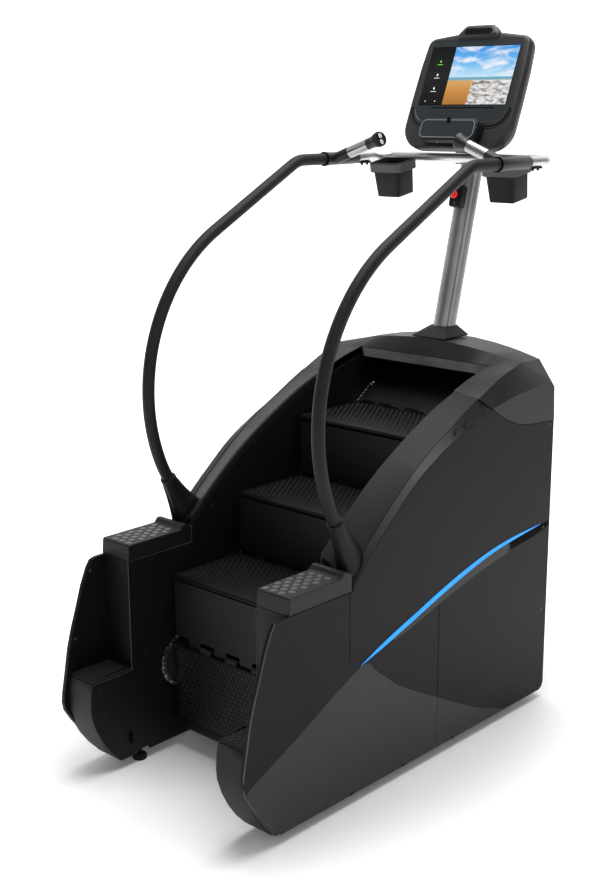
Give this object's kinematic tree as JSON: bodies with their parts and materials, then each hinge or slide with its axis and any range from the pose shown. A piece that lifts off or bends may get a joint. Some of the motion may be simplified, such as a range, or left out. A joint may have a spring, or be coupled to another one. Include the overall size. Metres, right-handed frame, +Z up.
{
  "type": "stair climber",
  "caption": "Moving staircase between two curved pods, with arched handrails, cup bins, grips with keys and a tilted display console on a leaning mast.",
  "frame": {"origin": "on the floor under the middle of the overall length, between the pods", "axes": "+Z up, +Y the way the user faces while climbing, +X to the user's right"},
  "size_m": [0.7852, 1.5816, 2.2397],
  "materials": {
    "cover_plastic": "fine-grained charcoal",
    "wall_plastic": "fine-grained black",
    "cap_plastic": "satin dark grey",
    "tread_plastic": "black with raised lozenges",
    "pad_rubber": "black with raised studs",
    "rail_coating": "satin black powder coat",
    "grip_plastic": "smooth black",
    "mast_coating": "satin grey powder coat",
    "contact_chrome": "polished",
    "frame_coating": "dark grey paint",
    "chain_steel": "oiled",
    "screen_glass": "gloss, lit from behind",
    "stop_red": "gloss red",
    "key_plastic": "satin white",
    "foot_rubber": "plain black"
  },
  "bodies": {
    "base": {"base_frame": "frame_coating", "brake_housing": "wall_plastic", "console_back": "cover_plastic", "console_bezel": "cover_plastic", "crossbar": "mast_coating", "device_shelf": "cover_plastic", "display_screen": "screen_glass", "drive_belt": "foot_rubber", "front_left_foot": "foot_rubber", "front_right_foot": "foot_rubber", "hood": "cap_plastic", "left_arch_cap": "cap_plastic", "left_bin": "wall_plastic", "left_chain": "chain_steel", "left_foot_tray": "pad_rubber", "left_grip_arm": "grip_plastic", "left_handrail": "rail_coating", "left_handrail_boot": "wall_plastic", "left_inner_wall": "wall_plastic", "left_landing_pad": "pad_rubber", "left_pulse_contact": "contact_chrome", "left_side_panel": "cover_plastic", "mast": "mast_coating", "mast_boot": "wall_plastic", "power_inlet": "wall_plastic", "rear_cover": "cover_plastic", "rear_left_foot": "foot_rubber", "rear_right_foot": "foot_rubber", "right_arch_cap": "cap_plastic", "right_bin": "wall_plastic", "right_chain": "chain_steel", "right_foot_tray": "pad_rubber", "right_grip_arm": "grip_plastic", "right_handrail": "rail_coating", "right_handrail_boot": "wall_plastic", "right_inner_wall": "wall_plastic", "right_landing_pad": "pad_rubber", "right_pulse_contact": "contact_chrome", "right_side_panel": "cover_plastic", "stop_button_housing": "wall_plastic"},
    "stairs": {"tread_1": "tread_plastic", "tread_2": "tread_plastic", "tread_3": "tread_plastic", "riser_1": "wall_plastic", "riser_2": "wall_plastic", "riser_3": "wall_plastic"},
    "lower_step": {"lower_tread": "tread_plastic", "lower_riser": "wall_plastic"},
    "upper_step": {"upper_step": "wall_plastic"},
    "return_steps": {"return_steps": "wall_plastic"},
    "lower_left_sprocket": {"lower_left_sprocket": "frame_coating"},
    "lower_right_sprocket": {"lower_right_sprocket": "frame_coating"},
    "upper_left_sprocket": {"upper_left_sprocket": "frame_coating"},
    "upper_right_sprocket": {"upper_right_sprocket": "frame_coating"},
    "brake_rotor": {"brake_rotor": "frame_coating"},
    "stop_button": {"stop_button": "stop_red"},
    "left_up_button": {"left_up_button": "key_plastic"},
    "left_down_button": {"left_down_button": "key_plastic"},
    "right_up_button": {"right_up_button": "key_plastic"},
    "right_down_button": {"right_down_button": "key_plastic"}
  },
  "joints": [
    {"name": "stairs_travel", "type": "slide", "parent": "base", "child": "stairs", "axis": [0, 0.8162, 0.5777], "range_m": [-0.04, 0.01]},
    {"name": "lower_step_turn", "type": "hinge", "parent": "stairs", "child": "lower_step", "pos_m": [0, -0.4408, 0.3645], "axis": [1, 0, 0], "range_deg": [-7.5, 28.5]},
    {"name": "upper_step_turn", "type": "hinge", "parent": "stairs", "child": "upper_step", "pos_m": [0, 0.4205, 0.9741], "axis": [1, 0, 0], "range_deg": [-5.5, 20.5]},
    {"name": "return_steps_travel", "type": "slide", "parent": "base", "child": "return_steps", "axis": [0, 0.8162, 0.5777], "range_m": [-0.0105, 0.0405]},
    {"name": "lower_left_sprocket_turn", "type": "hinge", "parent": "base", "child": "lower_left_sprocket", "pos_m": [0, -0.41206, 0.28928], "axis": [1, 0, 0], "range_deg": [-7.5, 29.5]},
    {"name": "lower_right_sprocket_turn", "type": "hinge", "parent": "base", "child": "lower_right_sprocket", "pos_m": [0, -0.41206, 0.28928], "axis": [1, 0, 0], "range_deg": [-7.5, 29.5]},
    {"name": "upper_left_sprocket_turn", "type": "hinge", "parent": "base", "child": "upper_left_sprocket", "pos_m": [0, 0.53632, 0.96051], "axis": [1, 0, 0], "range_deg": [-7.5, 29.5]},
    {"name": "upper_right_sprocket_turn", "type": "hinge", "parent": "base", "child": "upper_right_sprocket", "pos_m": [0, 0.53632, 0.96051], "axis": [1, 0, 0], "range_deg": [-7.5, 29.5]},
    {"name": "brake_rotor_turn", "type": "hinge", "parent": "base", "child": "brake_rotor", "pos_m": [0, 0.4392, 0.7245], "axis": [1, 0, 0], "range_deg": [-15, 59]},
    {"name": "stop_button_press", "type": "slide", "parent": "base", "child": "stop_button", "axis": [0, 0.9687, -0.2481], "range_m": [0, 0.004], "stiffness_N_per_m": 1500},
    {"name": "left_up_press", "type": "slide", "parent": "base", "child": "left_up_button", "axis": [-0.9372, -0.0655, -0.3426], "range_m": [0, 0.0015], "stiffness_N_per_m": 600},
    {"name": "left_down_press", "type": "slide", "parent": "base", "child": "left_down_button", "axis": [-0.9372, -0.0655, -0.3426], "range_m": [0, 0.0015], "stiffness_N_per_m": 600},
    {"name": "right_up_press", "type": "slide", "parent": "base", "child": "right_up_button", "axis": [0.9372, -0.0655, -0.3426], "range_m": [0, 0.0015], "stiffness_N_per_m": 600},
    {"name": "right_down_press", "type": "slide", "parent": "base", "child": "right_down_button", "axis": [0.9372, -0.0655, -0.3426], "range_m": [0, 0.0015], "stiffness_N_per_m": 600}
  ],
  "couplings": [
    {"joint": "lower_step_turn", "follows": "stairs_travel", "rad_per_m": -12.2},
    {"joint": "upper_step_turn", "follows": "stairs_travel", "rad_per_m": -8.73},
    {"joint": "return_steps_travel", "follows": "stairs_travel", "ratio": -1},
    {"joint": "lower_left_sprocket_turn", "follows": "stairs_travel", "rad_per_m": -12.82},
    {"joint": "lower_right_sprocket_turn", "follows": "stairs_travel", "rad_per_m": -12.82},
    {"joint": "upper_left_sprocket_turn", "follows": "stairs_travel", "rad_per_m": -12.82},
    {"joint": "upper_right_sprocket_turn", "follows": "stairs_travel", "rad_per_m": -12.82},
    {"joint": "brake_rotor_turn", "follows": "stairs_travel", "rad_per_m": -25.641}
  ]
}
